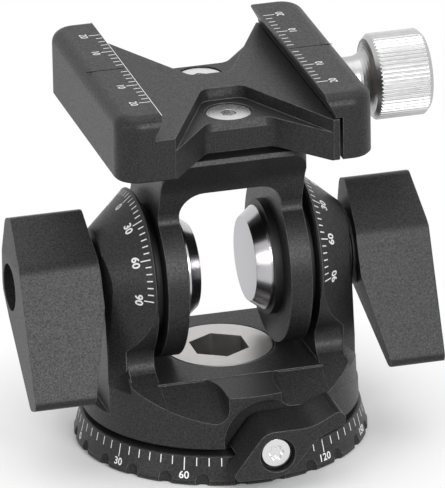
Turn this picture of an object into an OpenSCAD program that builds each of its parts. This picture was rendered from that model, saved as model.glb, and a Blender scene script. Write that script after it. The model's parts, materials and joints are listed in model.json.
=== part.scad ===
// Tilt head for a camera: a notched pan base, a forked body that turns on it, an arch-shaped yoke
// that tilts between the fork's two ears, and a screw-knob dovetail clamp on top of the yoke.
// Origin: centre of the base's bottom face. +X runs along the tilt axis to the clamp's knob,
// -Y is the front with the pan lock lever, +Z is up. Millimetres.

/* [Pan base] */
// Diameter of the base at its bottom rim
base_d = 61.4; // [59:0.2:66]
// Diameter at the top of the sloping scale band
band_top_d = 58.8; // [57:0.2:60]
// Height of the base
base_h = 6.2; // [5.6:0.1:7]
// Height of the straight rim under the scale band
rim_h = 1.2; // [0.8:0.1:1.8]
// Number of grip notches round the rim
notch_count = 24; // [12:1:30]
// Radius of the cutter that makes a notch
notch_r = 1.6; // [1:0.1:2]
// Height of a notch's round top
notch_h = 3.2; // [2.4:0.1:4]
// Core diameter of the 3/8 inch tripod thread
tripod_d = 7.94; // [6:0.02:9]
// Outer diameter of the steel thread insert
insert_d = 13; // [11.5:0.1:14]
// Length of the thread insert
insert_len = 7.9; // [6:0.1:8.4]

/* [Centre bolt] */
// Diameter of the bolt's flat head
head_d = 22.8; // [20:0.2:25]
// Thickness of the bolt's head
head_h = 5; // [4:0.1:5.6]
// Diameter of the bolt's shank
shank_d = 17; // [16:0.1:18]
// Width across flats of the hex socket
socket_af = 11.3; // [8:0.1:12]

/* [Fork] */
// Diameter of the fork's skirt at its lower edge
skirt_d = 58; // [56.6:0.2:59]
// Inward slope of the skirt, in degrees
skirt_taper = 2.4; // [1.6:0.2:4]
// Height of the flat deck between the ears
deck_z = 18.8; // [18.2:0.1:19]
// Half depth of the deck, where the sloping shelves start
deck_y = 16.8; // [15.5:0.1:18]
// Slope of the shelves, in degrees
shelf_angle = 26.5; // [22:0.5:30]
// Width of the slot between the two ears
ear_gap = 34.6; // [34.2:0.1:36]
// Width over the ears' outer flats
fork_w = 53.2; // [51:0.1:55]
// Radius of an ear's inner rim
ear_r = 17.7; // [16.5:0.1:18]
// Radius at an ear's outer end
ear_end_r = 10; // [9:0.1:12]
// Radius of the hollow fillet under an ear
ear_fillet = 4; // [3:0.1:5]

/* [Tilt axle] */
// Height of the tilt axis above the base's bottom face
axis_z = 37.5; // [37.2:0.1:39]
// Diameter of the axle studs
axle_d = 8; // [6:0.1:9]
// Diameter of an axle's head
cap_d = 21.9; // [18:0.1:24]
// Diameter of the satin face on an axle's head
cap_face_d = 17.9; // [14:0.1:18]
// Distance between the two axle heads' faces
cap_gap = 11.9; // [9:0.1:13]

/* [Yoke] */
// Radius of the yoke's arm discs
arm_r = 18.1; // [17:0.1:18.3]
// Distance between the yoke's arms
arch_w = 21.8; // [20.6:0.1:23]
// Width over the yoke's arms
yoke_w = 30.8; // [29.5:0.1:31.4]
// Height of the arch's inner top
arch_z = 58.4; // [57.4:0.1:60]
// Radius of the arch's inner corners
arch_r = 5; // [3:0.1:7]
// Half depth of the yoke's crossbar
bar_y = 18.3; // [17.4:0.1:19]
// Half depth of the yoke's neck above the discs
neck_y = 10.3; // [9.6:0.1:11]

/* [Clamp] */
// Height of the clamp's bottom face
clamp_z = 69; // [68.6:0.1:71]
// Thickness of the clamp over its jaws
clamp_h = 14; // [13:0.1:16]
// Height of the clamp's floor above its bottom face
floor_h = 9; // [8.6:0.1:10]
// Length of the clamp along the dovetail
clamp_len = 58.4; // [52:0.2:66]
// Outer face of the fixed jaw, left of the tilt head's centre
fixed_x = 28; // [26:0.1:30]
// Lip of the fixed jaw, left of the centre
fixed_lip = 18.6; // [17:0.1:20]
// Right end of the clamp's body
body_x = 18.5; // [17.5:0.1:20]
// Lip of the moving jaw, right of the centre
moving_lip = 16; // [14.5:0.1:17]
// Outer face of the moving jaw
moving_x = 26.3; // [25.4:0.1:29]
// Depth of the dovetail undercut
undercut = 1.7; // [1.2:0.1:2.4]
// Height of the dovetail's slanting flank
flank_h = 3.2; // [2.4:0.1:3.4]
// Radius of the rounded top edges
top_fillet = 2.6; // [1.5:0.1:3]
// Radius of the upright outer corners
corner_r = 5; // [3:0.1:6]
// Diameter of a clamp screw's head
screw_head_d = 9.3; // [8:0.1:9.8]
// Distance between the two clamp screws
screw_pitch = 21.8; // [20.6:0.1:22.2]

/* [Clamp knob] */
// Height of the knob's axis above the clamp's bottom face
knob_h = 5.7; // [5:0.1:6]
// Diameter over the knurled drum
drum_d = 18; // [15:0.1:20]
// Length of the knurled drum
drum_len = 11; // [9:0.1:14]
// Length of the hollow neck between jaw and drum
neck_len = 6.7; // [5:0.1:8]
// Diameter of the neck at the jaw
neck_d = 9.4; // [8:0.1:10]
// Number of knurl teeth
knurl_count = 64; // [40:1:80]
// Diameter of the clamp spindle
spindle_d = 5; // [4:0.1:5.4]

/* [Wing knobs] */
// Distance of the right wing knob's outer face from the centre
wing_x = 43.3; // [42:0.1:47]
// Inner face of each wing at its hub
wing_hub_x = 27.5; // [27.4:0.1:28.5]
// How much further out the left wing's outer face lies
left_back_off = 1.3; // [0:0.1:2]
// Diameter of the round collar that bears on the ear
collar_d = 16; // [14:0.1:18]
// Diameter of the hole in the outer face
wing_hole_d = 10; // [8:0.1:10.4]
// Reach of the upper wing above the axis
wing_up = 14.4; // [13:0.1:17]
// Reach of the lower wing below the axis
wing_down = 21.6; // [18:0.1:21.8]

/* [Pan lock] */
// Sideways place of the lever's pivot
lever_x = 2.1; // [1:0.1:3]
// Height of the lever's pivot
lever_z = 8.7; // [8.6:0.1:9.2]
// Front face of the lever, before the centre
lever_y = 37; // [36.6:0.1:38]
// Depth of the lever's block, from its front face back
lever_depth = 11; // [9:0.1:11.4]
// Radius of the round recess in the fork for the lever's hub
recess_r = 8.9; // [8.6:0.1:9.4]
// Radius of the fork's pocket round the lever's handle
pocket_r = 17.5; // [17:0.1:18.5]
// Diameter of the lever screw's head
lever_screw_d = 6; // [5:0.1:6.6]
// Diameter of the lock spindle inside the fork
lock_d = 2.4; // [2:0.1:2.6]

/* [Hidden] */
$fn = 64;

// Colours as the finished pieces show them
black = "#2b2b2d";
satin_steel = "#b5b1ae";
silver = "#dcdcdc";
bronze = "#b07a4e";
dark_polymer = "#161617";

// Overshoot of every cut past the face that it opens
cut = 1;
// Radial gap of a pressed or bolted fit
press_gap = 0.02;
// Radial gap of a running fit
run_gap = 0.05;
// Gap between flat faces that slide on each other
slide_gap = 0.05;
// Gap between pieces that pass each other
clear = 0.4;
// Number of straight steps in a rounded corner
arc_steps = 8;
// Size of the small broken edges
edge = 0.4;

// Pan base
base_r = base_d / 2;
band_top_r = band_top_d / 2;
notch_depth = 1;
notch_turn = 180 / notch_count;
pillar_r = 16;
slide_ring_t = 0.25;
slide_ring_in = 20.5;
slide_ring_out = 25.5;
fork_z = base_h + slide_ring_t + slide_gap;
web_z = fork_z + 4.1;
pillar_z = web_z - clear;
insert_z = 0.3;

// Centre bolt
head_r = head_d / 2;
shank_r = shank_d / 2;
head_z = deck_z - head_h;
washer_t = 0.6;
seat_z = head_z - washer_t - slide_gap;
bolt_grip = 5;
bolt_end_z = pillar_z - bolt_grip;
socket_z = insert_z + insert_len + 1.4;
bush_wall = 1.5;

// Fork
skirt_gap_z = fork_z + 0.8;
skirt_step = 3;
skirt_top_z = axis_z + ear_r + cut;
skirt_r = skirt_d / 2;
skirt_top_r = skirt_r - (skirt_top_z - skirt_gap_z) * tan(skirt_taper);
shelf_step = 0.4;
ear_x = ear_gap / 2;
flat_x = fork_w / 2;
ear_rim = 0.5;
ear_rim_drop = 0.5;
ear_rim_flat = 0.1;
foot_inset = 0.03;
foot_lap = 0.5;
fillet_sink = 0.05;
root_x = 23.3;
root_low = 14.7;
root_top = 24;
root_top_r = 24.9;
nose_drop = 0.1;
flat_z = 11;
flat_corner = 3;
flat_half = 14;
nose_half = 5.6;
cove_r = 3.3;
pocket_x = 7.2;

// Tilt axle
axle_r = axle_d / 2;
axle_end_in = 7.3;
axle_end_x = wing_x - axle_end_in;
cap_r = cap_d / 2;
cap_face_r = cap_face_d / 2;
cap_x = cap_gap / 2;
cap_bevel = 2.6;
cap_rim = 0.7;
collar_x = cap_x + cap_bevel + cap_rim;
collar_r = cap_r + 1.2;
bush_r = axle_r + 1.5;

// Yoke
arm_in_x = arch_w / 2;
arm_x = yoke_w / 2;
yoke_z = clamp_z - 1.3;
bar_bevel = 0.9;
bar_top_y = bar_y - 0.4;
bar_round = 4.6;
pad_y = 14;
neck_bend_y = 13.3;
neck_bend_up = 22.9;
neck_bend = [-neck_bend_y, axis_z + neck_bend_up];
neck_bend_r = 14;
neck_z = axis_z + sqrt(pow(arm_r, 2) - pow(neck_y, 2));
neck_fillet = 2.5;
friction_r = 14;

// Clamp
clamp_top = clamp_z + clamp_h;
floor_z = clamp_z + floor_h;
lip_t = 1;
jaw_gap = 0.7;
jaw_x = body_x + jaw_gap;
jaw_sole_gap = 0.3;
clamp_y = clamp_len / 2;
waist_x = 0.5;
ledge_up = 6.2;
ledge_z = clamp_z + ledge_up;
waist_half = 4.3;
waist_y = 4.1;
waist_r = 2.6;
mouth_half = 16.75;
ledge_half = 6.6;
ledge_y = 16.1;
sill_half = 6.9;
sill_y = 16.9;
sill_drop = 1.65;
sill_r = 3.3;
screw_head_r = screw_head_d / 2;
screw_head_h = 3.6;
screw_sink = 0.25;
screw_r = 2.5;
screw_end_z = arch_z + 4;
screw_socket_af = 3;
pin_r = 1.5;
pin_y = 17;
pin_z = clamp_z + 3.6;
pin_grip = 8;
pin_in_x = body_x - pin_grip;
jaw_close = 0.5;
pin_out_x = moving_x - 2;
mark_w = 0.35;
mark_depth = 0.3;

// Clamp knob
knob_z = clamp_z + knob_h;
spindle_r = spindle_d / 2;
jaw_washer_t = 0.8;
knob_x = moving_x + jaw_washer_t + slide_gap;
drum_x = knob_x + neck_len;
knob_end_x = drum_x + drum_len;
drum_r = drum_d / 2;
drum_bevel = 1;
knurl_depth = 0.35;
groove_half = 0.32;
spindle_grip = 12;
spindle_in_x = body_x - spindle_grip;
spindle_out_x = knob_end_x - 4;

// Wing knobs
wing_tip_lean = 0.85;
wing_foot_lean = 5;
wing_hub_top = 5;
wing_hub_low = -2;
wing_top_cut = 1.1;
wing_bend_z = 6;
wing_ridge = [-8.4, 6.7];
wing_ridge_r = 5.5;
wing_top_front = 2.2;
wing_top_back = 5.8;
wing_top_drop = 1.2;
wing_top_r = 1.8;
wing_back = [6.1, -2.2];
wing_back_r = 4;
wing_heel = [1.2, -7.2];
wing_heel_r = 5;
wing_foot_back = -15.4;
wing_foot_front = -20.1;
wing_foot_rise = 1.7;
wing_foot_r = 1.65;
thrust_t = 0.5;
thrust_r = 7.2;
wing_collar_x = flat_x + thrust_t + slide_gap;
wing_hole_depth = 4.6;
nut_wall = 1;
nut_r = wing_back[0] - nut_wall;
nut_in = 1.4;
nut_past = 0.6;
nut_x = wing_hub_x + nut_in;
nut_end_x = axle_end_x + nut_past;
plug_t = 1.6;
plug_socket_af = 4;

// Pan lock
lever_back = lever_y - lever_depth;
lever_step_y = base_r + 2 * clear;
lever_step_z = 1;
lever_hub_r = recess_r - 2 * clear;
pocket_y = lever_back - 2 * clear;
lever_bore_r = 3.75;
lever_seat_y = lever_y - 2.6;
lever_web = 1.4;
lever_screw_t = 1.2;
lever_screw_r = lever_screw_d / 2;
lever_screw_shank = 1;
lever_screw_len = 3.6;
lobe_count = 6;
lobe_ring_r = 1.2;
lobe_r = 0.5;
lever_tail = [-10.4, -4.8];
lever_tail_r = 1.2;
lever_belly = [1.9, -5];
lever_belly_r = 7;
lever_crook = [8.6, 2.7];
lever_crook_r = 6;
lever_tip_low = [15.2, 5.6];
lever_tip_top = [13.7, 8.4];
lever_tip_r = 1.45;
lever_waist = [7.4, 5.3];
lever_waist_r = 9;
lever_crown = [-2.6, 5.2];
lever_crown_r = 4;
lock_r = lock_d / 2;
lock_hub_r = 2;
lock_hub_y = pocket_y - 2;
lock_front_y = lever_seat_y - lever_web;
tip_r = lock_r + 0.2;
tip_len = 4;
tip_end_y = pillar_r + 0.2;
tip_y = tip_end_y + tip_len;

// Unit vector along v
function unit(v) = v / norm(v);

// Turn from angle a to angle b, the short way round
function short_turn(a, b) = b - a > 180 ? b - a - 360 : b - a < -180 ? b - a + 360 : b - a;

// Points of the arc that rounds corner b, between a and c, with radius r
function corner_arc(a, b, c, r) =
    let (
        u = unit(a - b),
        w = unit(c - b),
        half = acos(u * w) / 2,
        reach = r / tan(half),
        centre = b + unit(u + w) * r / sin(half),
        from = b + u * reach - centre,
        to = b + w * reach - centre,
        start = atan2(from.y, from.x),
        sweep = short_turn(start, atan2(to.y, to.x))
    )
    [for (i = [0 : arc_steps])
        centre + r * [cos(start + sweep * i / arc_steps), sin(start + sweep * i / arc_steps)]];

// Outline through corners given as [across, up, radius], each rounded by its radius
function rounded(corners) =
    let (n = len(corners), p = [for (k = corners) [k[0], k[1]]])
    [for (i = [0 : n - 1])
        each corner_arc(p[(i + n - 1) % n], p[i], p[(i + 1) % n], corners[i][2])];

// Corner at p with rounding radius r, for an outline
function corner(p, r) = [p.x, p.y, r];

// Outline and its mirror image across the upright axis, as one closed outline
function both_sides(points) =
    concat(points, [for (i = [len(points) - 1 : -1 : 0]) [-points[i].x, points[i].y]]);

// A profile of (y, z) points extruded along X between x0 and x1
module x_prism(x0, x1) {
    translate([x0, 0, 0])
        rotate([90, 0, 90])
            linear_extrude(x1 - x0)
                children();
}

// A profile of (x, z) points extruded along Y, from -y0 at the front to -y1 behind it
module y_prism(y0, y1) {
    translate([0, -y1, 0])
        rotate([90, 0, 0])
            linear_extrude(y0 - y1)
                children();
}

// A round bar along X at height z, from x0 to x1
module x_bar(x0, x1, r, z) {
    translate([x0, 0, z])
        rotate([0, 90, 0])
            cylinder(r = r, h = x1 - x0);
}

// A round tube along X at height z
module x_tube(x0, x1, r_out, r_in, z) {
    difference() {
        x_bar(x0, x1, r_out, z);
        x_bar(x0 - cut, x1 + cut, r_in, z);
    }
}

// A body of revolution about an X axis at height z, from (x, radius) points
module x_turned(points, z) {
    translate([0, 0, z])
        rotate([0, 90, 0])
            rotate_extrude()
                polygon([for (p = points) [p.y, p.x]]);
}

// A round bar along Y on the lever's pivot, from -y0 at the front to -y1 behind it
module lock_bar(y0, y1, r) {
    translate([lever_x, -y1, lever_z])
        rotate([90, 0, 0])
            cylinder(r = r, h = y0 - y1);
}

// An upright tube
module tube(z0, z1, r_out, r_in) {
    translate([0, 0, z0])
        difference() {
            cylinder(r = r_out, h = z1 - z0);
            translate([0, 0, -cut])
                cylinder(r = r_in, h = z1 - z0 + 2 * cut);
        }
}

// A six-sided key socket with flats af apart, open upward from z = 0
module hex_socket(af, depth) {
    rotate(30)
        cylinder(d = af / cos(30), h = depth, $fn = 6);
}

// A six-lobed key socket, open upward from z = 0
module lobe_socket(depth) {
    cylinder(r = lobe_ring_r, h = depth);
    for (i = [0 : lobe_count - 1])
        rotate(i * 360 / lobe_count)
            translate([lobe_ring_r, 0, 0])
                cylinder(r = lobe_r, h = depth);
}

// The shape on the right and its mirror image on the left
module left_and_right() {
    children();
    mirror([1, 0, 0])
        children();
}

// Notched disc with a sloping scale band, and the pillar that the fork turns round
module pan_base() {
    color(black)
        difference() {
            rotate_extrude()
                polygon([[0, 0], [base_r - edge, 0], [base_r, edge], [base_r, rim_h],
                    [base_r - edge / 2, rim_h + edge / 2], [band_top_r, base_h - edge / 2],
                    [band_top_r - edge, base_h], [pillar_r, base_h], [pillar_r, pillar_z],
                    [0, pillar_z]]);
            translate([0, 0, -cut])
                cylinder(r = insert_d / 2 + press_gap, h = pillar_z + 2 * cut);
            translate([0, 0, bolt_end_z])
                cylinder(r = shank_r + press_gap, h = pillar_z);
            for (i = [0 : notch_count - 1])
                rotate(notch_turn + i * 2 * notch_turn)
                    translate([base_r + notch_r - notch_depth, 0, notch_h - notch_r]) {
                        translate([0, 0, -notch_h - cut])
                            cylinder(r = notch_r, h = notch_h + cut);
                        sphere(r = notch_r);
                    }
        }
}

// Steel bush with the tripod's thread, let into the base from below
module thread_insert() {
    color(satin_steel)
        tube(insert_z, insert_z + insert_len, insert_d / 2, tripod_d / 2);
}

// Thin slide ring that the fork's sole turns on
module pan_slide_ring() {
    color(dark_polymer)
        tube(base_h, base_h + slide_ring_t, slide_ring_out, slide_ring_in);
}

// Hollow shoulder bolt that holds the fork down, its flat head flush in the deck
module centre_bolt() {
    color(satin_steel)
        difference() {
            union() {
                rotate_extrude()
                    polygon([[0, head_z], [head_r, head_z], [head_r, deck_z - edge / 2],
                        [head_r - edge / 2, deck_z], [0, deck_z]]);
                translate([0, 0, bolt_end_z])
                    cylinder(r = shank_r, h = head_z - bolt_end_z);
            }
            translate([0, 0, socket_z])
                hex_socket(socket_af, deck_z);
            translate([0, 0, bolt_end_z - cut])
                cylinder(r = insert_d / 2 + press_gap, h = insert_z + insert_len - bolt_end_z + cut + edge);
        }
}

// Outline of an ear from its slot side to its outer end, as (x, radius)
ear_outline = [[ear_x, ear_r - ear_rim], [ear_x + ear_rim, ear_r],
    [ear_x + 2 * ear_rim, ear_r - ear_rim_drop], [flat_x - edge, ear_end_r + edge], [flat_x, ear_end_r]];

// Centre of the hollow fillet between an ear's disc and the front shelf
shelf_start = [-deck_y, deck_z - shelf_step];
shelf_down = [-cos(shelf_angle), -sin(shelf_angle)];
shelf_up = [-sin(shelf_angle), cos(shelf_angle)];
tilt_centre = [0, axis_z];
fillet_from = shelf_start + shelf_up * (ear_fillet - fillet_sink) - tilt_centre;
ear_disc_r = ear_r - ear_rim_flat;
fillet_slide = -fillet_from * shelf_down
    + sqrt(pow(fillet_from * shelf_down, 2) - fillet_from * fillet_from + pow(ear_disc_r + ear_fillet, 2));
fillet_centre = tilt_centre + fillet_from + shelf_down * fillet_slide;
fillet_on_ear = tilt_centre + unit(fillet_centre - tilt_centre) * ear_disc_r;
fillet_on_shelf = fillet_centre - shelf_up * ear_fillet;

// Side outline left standing where the shelves are milled: a disc on the tilt axis that runs into the
// shelves through hollow fillets
module milled_side() {
    shelf_bed = fillet_on_shelf - shelf_up * fillet_sink;
    bed_end = shelf_bed + shelf_down * skirt_r;
    difference() {
        union() {
            translate(tilt_centre)
                circle(r = ear_disc_r);
            polygon(both_sides([tilt_centre - [edge, 0], fillet_on_ear, fillet_centre, fillet_on_shelf,
                shelf_bed, bed_end, [bed_end.x, fork_z - 2 * cut]]));
        }
        for (side = [1, -1])
            translate([side * fillet_centre.x, fillet_centre.y])
                circle(r = ear_fillet);
    }
}

// Side outline of the room milled in front of and behind an ear
module milled_room() {
    difference() {
        translate([-skirt_r - cut, fork_z - cut])
            square([2 * (skirt_r + cut), axis_z - fork_z + cut]);
        milled_side();
    }
}

// Bored slab that an ear is cut from, as a side outline
module ear_slab() {
    difference() {
        translate([-skirt_r, fork_z])
            square([2 * skirt_r, skirt_top_z - fork_z]);
        translate(tilt_centre)
            circle(r = bush_r + press_gap);
    }
}

// One ear on the right, coned towards its outer end, on an upright foot of the same outline
module ear() {
    difference() {
        intersection() {
            x_prism(ear_x, flat_x)
                ear_slab();
            union() {
                intersection() {
                    x_turned(concat([[ear_x, 0]], ear_outline, [[flat_x, 0]]), axis_z);
                    translate([0, -skirt_r, axis_z - foot_lap])
                        cube([skirt_r, 2 * skirt_r, skirt_r]);
                }
                translate([0, 0, fork_z])
                    linear_extrude(axis_z - fork_z)
                        polygon(concat([for (p = ear_outline) [p.x, p.y - foot_inset]],
                            [for (i = [len(ear_outline) - 1 : -1 : 0])
                                [ear_outline[i].x, foot_inset - ear_outline[i].y]]));
            }
        }
        x_prism(ear_x - cut, root_x)
            milled_room();
    }
}

// Flared root outside the milled shelf, where the skirt runs up into the ear's foot
module ear_root() {
    intersection() {
        rotate_extrude()
            polygon([[0, fork_z], [skirt_r + cut, fork_z], [skirt_r + cut, root_low], [root_top_r, root_top],
                [0, root_top]]);
        translate([root_x - edge, -skirt_r, fork_z - cut])
            cube([skirt_r, 2 * skirt_r, skirt_r]);
    }
}

// The round outside of the fork, tapering upward from the skirt's lower edge
module skirt_envelope() {
    rotate_extrude()
        polygon([[0, fork_z], [skirt_r - skirt_step, fork_z], [skirt_r - skirt_step, skirt_gap_z],
            [skirt_r - edge, skirt_gap_z], [skirt_r, skirt_gap_z + edge], [skirt_top_r, skirt_top_z],
            [0, skirt_top_z]]);
}

// Lower end of the front shelf, outside the skirt
shelf_end = shelf_start + shelf_down * ((skirt_r + cut - deck_y) / cos(shelf_angle));

// Side outline of the fork's middle: a flat deck with a shelf sloping down on each side
module deck_side() {
    polygon(both_sides([[shelf_end.x, fork_z], shelf_end, shelf_start, [-deck_y, deck_z]]));
}

// Side outline under the ears, where the shelves run up into the fillets, a hair above the deck's shelves
module shelf_side() {
    shelf_crest = fillet_on_shelf + shelf_up * 2 * fillet_sink - shelf_down * ear_fillet / 2;
    polygon(both_sides([[shelf_end.x, fork_z], shelf_end + shelf_up * fillet_sink, shelf_crest]));
}

// Hollow fillet from the shelf up to the nose's left side, as (x, height above the shelf)
nose_cove = [for (i = [0 : arc_steps])
    [-nose_half - cove_r * (1 - sin(90 * i / arc_steps)), cove_r * (1 - cos(90 * i / arc_steps))]];

// Forward nose of the deck over the lock, with hollow fillets down to the shelf
module nose() {
    nose_h = deck_z - nose_drop - fork_z - cut;
    intersection() {
        union() {
            translate([-nose_half, -skirt_r - cut, fork_z + cut])
                cube([2 * nose_half, skirt_r, nose_h]);
            translate([0, shelf_start.x, shelf_start.y - fillet_sink])
                rotate([shelf_angle, 0, 0])
                    y_prism(skirt_r, -deck_y)
                        polygon(both_sides(concat([[-nose_half - cove_r, -cut]], nose_cove)));
        }
        translate([-skirt_r, -skirt_r - 2 * cut, fork_z + cut])
            cube([2 * skirt_r, skirt_r, nose_h]);
    }
}

// Flat on the fork's right side that clears the wing knob, with rounded lower corners
module wing_flat() {
    x_prism(flat_x, skirt_r + cut)
        polygon(rounded([[-flat_half, flat_z, flat_corner], [flat_half, flat_z, flat_corner],
            [flat_half, skirt_top_z + cut, flat_corner], [-flat_half, skirt_top_z + cut, flat_corner]]));
}

// Round recess for the lever's hub, and the wider pocket on the right that its handle swings in
module lever_room() {
    lock_bar(lever_y, pocket_y, recess_r);
    intersection() {
        lock_bar(lever_y, pocket_y, pocket_r);
        translate([pocket_x, -lever_y, 0])
            cube([skirt_r, lever_y, skirt_top_z]);
    }
}

// Forked body that turns on the base and carries the yoke between its ears
module fork_body() {
    color(black)
        difference() {
            intersection() {
                skirt_envelope();
                union() {
                    difference() {
                        union() {
                            x_prism(-ear_x - edge, ear_x + edge)
                                deck_side();
                            left_and_right() {
                                x_prism(ear_x, root_x)
                                    shelf_side();
                                ear_root();
                            }
                            nose();
                        }
                        left_and_right()
                            wing_flat();
                        lever_room();
                    }
                    left_and_right()
                        ear();
                }
            }
            translate([0, 0, fork_z - cut])
                cylinder(r = pillar_r + clear, h = web_z - fork_z + cut);
            translate([0, 0, web_z - cut])
                cylinder(r = shank_r + bush_wall + press_gap, h = deck_z);
            translate([0, 0, seat_z])
                cylinder(r = head_r + clear / 2, h = deck_z);
            lock_bar(lever_back, lock_hub_y, lock_hub_r + run_gap);
            lock_bar(lever_back, pillar_r, lock_r + run_gap);
            lock_bar(tip_y + clear, pillar_r, tip_r + run_gap);
        }
}

// Bronze bush pressed into the fork's web, turning on the centre bolt
module pan_bush() {
    color(bronze)
        tube(web_z, seat_z, shank_r + bush_wall, shank_r + run_gap);
}

// Thrust washer under the centre bolt's head
module pan_thrust_washer() {
    color(bronze)
        tube(seat_z, seat_z + washer_t, head_r - edge, shank_r + run_gap + edge / 2);
}

// Bronze bushes pressed into the ears, one for each axle
module ear_bushes() {
    color(bronze)
        left_and_right()
            x_tube(ear_x, flat_x, bush_r, axle_r + run_gap, axis_z);
}

// Dark washers between the ears and the wing knobs
module thrust_washers() {
    color(dark_polymer)
        left_and_right()
            x_tube(flat_x, flat_x + thrust_t, thrust_r, axle_r + run_gap + edge / 2, axis_z);
}

// Line of the neck's front face, from its bend under the crossbar to the arm disc
bar_corner = [-bar_y, yoke_z - bar_bevel];
neck_foot = [-neck_y, neck_z];
neck_down = unit(neck_foot - neck_bend);
neck_out = [neck_down.y, -neck_down.x];
neck_from = neck_foot + neck_out * neck_fillet - tilt_centre;
neck_slide = -neck_from * neck_down
    - sqrt(pow(neck_from * neck_down, 2) - neck_from * neck_from + pow(arm_r + neck_fillet - fillet_sink, 2));
neck_centre = tilt_centre + neck_from + neck_down * neck_slide;
neck_on_arm = tilt_centre + unit(neck_centre - tilt_centre) * arm_r;
neck_on_face = neck_centre - neck_out * neck_fillet;

// Side outline of the yoke: an arm disc and a neck that flares into a crossbar with a bevelled top edge
module yoke_side() {
    translate(tilt_centre)
        circle(r = arm_r);
    difference() {
        polygon(both_sides(concat([tilt_centre - [edge, 0], neck_on_arm, neck_centre, neck_on_face],
            corner_arc(neck_on_face, neck_bend, bar_corner, neck_bend_r),
            [bar_corner, [-bar_top_y, yoke_z]])));
        for (side = [1, -1])
            translate([side * neck_centre.x, neck_centre.y])
                circle(r = neck_fillet);
    }
}

// Plan of the crossbar with rounded upright corners
module bar_plan() {
    plan_x = arm_x + fillet_sink;
    plan_y = bar_y + edge / 2;
    polygon(rounded([[-plan_x, -plan_y, bar_round], [plan_x, -plan_y, bar_round],
        [plan_x, plan_y, bar_round], [-plan_x, plan_y, bar_round]]));
}

// Block that the yoke is milled from: full width round the arms, rounded corners along the crossbar
module yoke_envelope() {
    arms_z = axis_z - arm_r - cut;
    translate([-arm_x - cut, -arm_r - cut, arms_z])
        cube([2 * (arm_x + cut), 2 * (arm_r + cut), neck_z + edge - arms_z]);
    translate([0, 0, neck_z])
        linear_extrude(clamp_z - neck_z)
            bar_plan();
}

// Arch-shaped yoke that tilts between the ears, with a pad for the clamp on its crossbar
module yoke() {
    color(black)
        difference() {
            union() {
                intersection() {
                    x_prism(-arm_x, arm_x)
                        yoke_side();
                    yoke_envelope();
                }
                translate([-arm_x, -pad_y, yoke_z - cut])
                    cube([2 * arm_x, 2 * pad_y, clamp_z - yoke_z + cut]);
            }
            y_prism(bar_y + arm_r, -bar_y - arm_r)
                polygon(rounded([[-arm_in_x, axis_z - arm_r - cut, edge], [arm_in_x, axis_z - arm_r - cut, edge],
                    [arm_in_x, arch_z, arch_r], [-arm_in_x, arch_z, arch_r]]));
            x_bar(-arm_x - cut, arm_x + cut, axle_r + press_gap, axis_z);
            for (side = [1, -1])
                translate([0, side * screw_pitch / 2, screw_end_z - edge])
                    cylinder(r = screw_r + press_gap, h = clamp_z);
        }
}

// Axle on the right: a bevelled steel head inside the arch and a stud out to the wing knob
module axle() {
    color(satin_steel)
        union() {
            x_turned([[cap_x, 0], [cap_x, cap_face_r], [cap_x + cap_bevel, cap_r],
                [cap_x + cap_bevel + cap_rim, cap_r], [cap_x + cap_bevel + cap_rim, 0]], axis_z);
            x_bar(collar_x - edge, axle_end_x, axle_r, axis_z);
        }
}

module left_axle() {
    mirror([1, 0, 0])
        axle();
}

module right_axle() {
    axle();
}

// Black collars between the axle heads and the yoke's arms
module axle_collars() {
    color(dark_polymer)
        left_and_right()
            x_tube(collar_x, arm_in_x, collar_r, axle_r + press_gap, axis_z);
}

// Friction washers between the yoke's arms and the ears
module friction_washers() {
    color(dark_polymer)
        left_and_right()
            x_tube(arm_x, ear_x - 2 * slide_gap, friction_r, axle_r + press_gap, axis_z);
}

// Side outline of a wing knob about its axis: a short wing up and back, a long wing down and forward
module wing_side() {
    translate(tilt_centre)
        polygon(rounded([corner(wing_ridge, wing_ridge_r), [wing_top_front, wing_up, wing_top_r],
            [wing_top_back, wing_up - wing_top_drop, wing_top_r], corner(wing_back, wing_back_r),
            corner(wing_heel, wing_heel_r), [wing_foot_back, -wing_down, wing_foot_r],
            [wing_foot_front, -wing_down + wing_foot_rise, wing_foot_r]]));
}

// Front outline of a wing knob on the right, as (x, z) about the axis
module wing_front(hub_x, end_x) {
    translate(tilt_centre)
        polygon([[hub_x, wing_hub_top], [hub_x + wing_tip_lean, wing_up + cut],
            [end_x - wing_top_cut, wing_up + cut], [end_x, wing_bend_z], [end_x, -wing_down - cut],
            [hub_x + wing_foot_lean, -wing_down - cut], [hub_x, wing_hub_low]]);
}

// Wing knob on the right, screwed out by back; turned tight, it pulls the ear against the yoke's arm
module wing_knob(back) {
    hub_x = wing_hub_x;
    end_x = wing_x + back;
    color(black)
        difference() {
            union() {
                intersection() {
                    x_prism(hub_x, end_x)
                        wing_side();
                    y_prism(bar_y + arm_r, -bar_y)
                        wing_front(hub_x, end_x);
                }
                x_bar(wing_collar_x, nut_x + back + cut, collar_d / 2, axis_z);
            }
            x_bar(wing_collar_x - cut, nut_x + back, axle_r + clear, axis_z);
            x_bar(nut_x + back, nut_end_x + back, nut_r + press_gap, axis_z);
            x_bar(end_x - wing_hole_depth, end_x + cut, wing_hole_d / 2, axis_z);
        }
}

module left_wing_knob() {
    mirror([1, 0, 0])
        wing_knob(left_back_off);
}

module right_wing_knob() {
    wing_knob(0);
}

// Brass nut moulded into the wing knob, running on the axle
module knob_nut(back) {
    color(bronze)
        x_tube(nut_x + back, nut_end_x + back, nut_r, axle_r + run_gap, axis_z);
}

module left_knob_nut() {
    mirror([1, 0, 0])
        knob_nut(left_back_off);
}

module right_knob_nut() {
    knob_nut(0);
}

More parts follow.
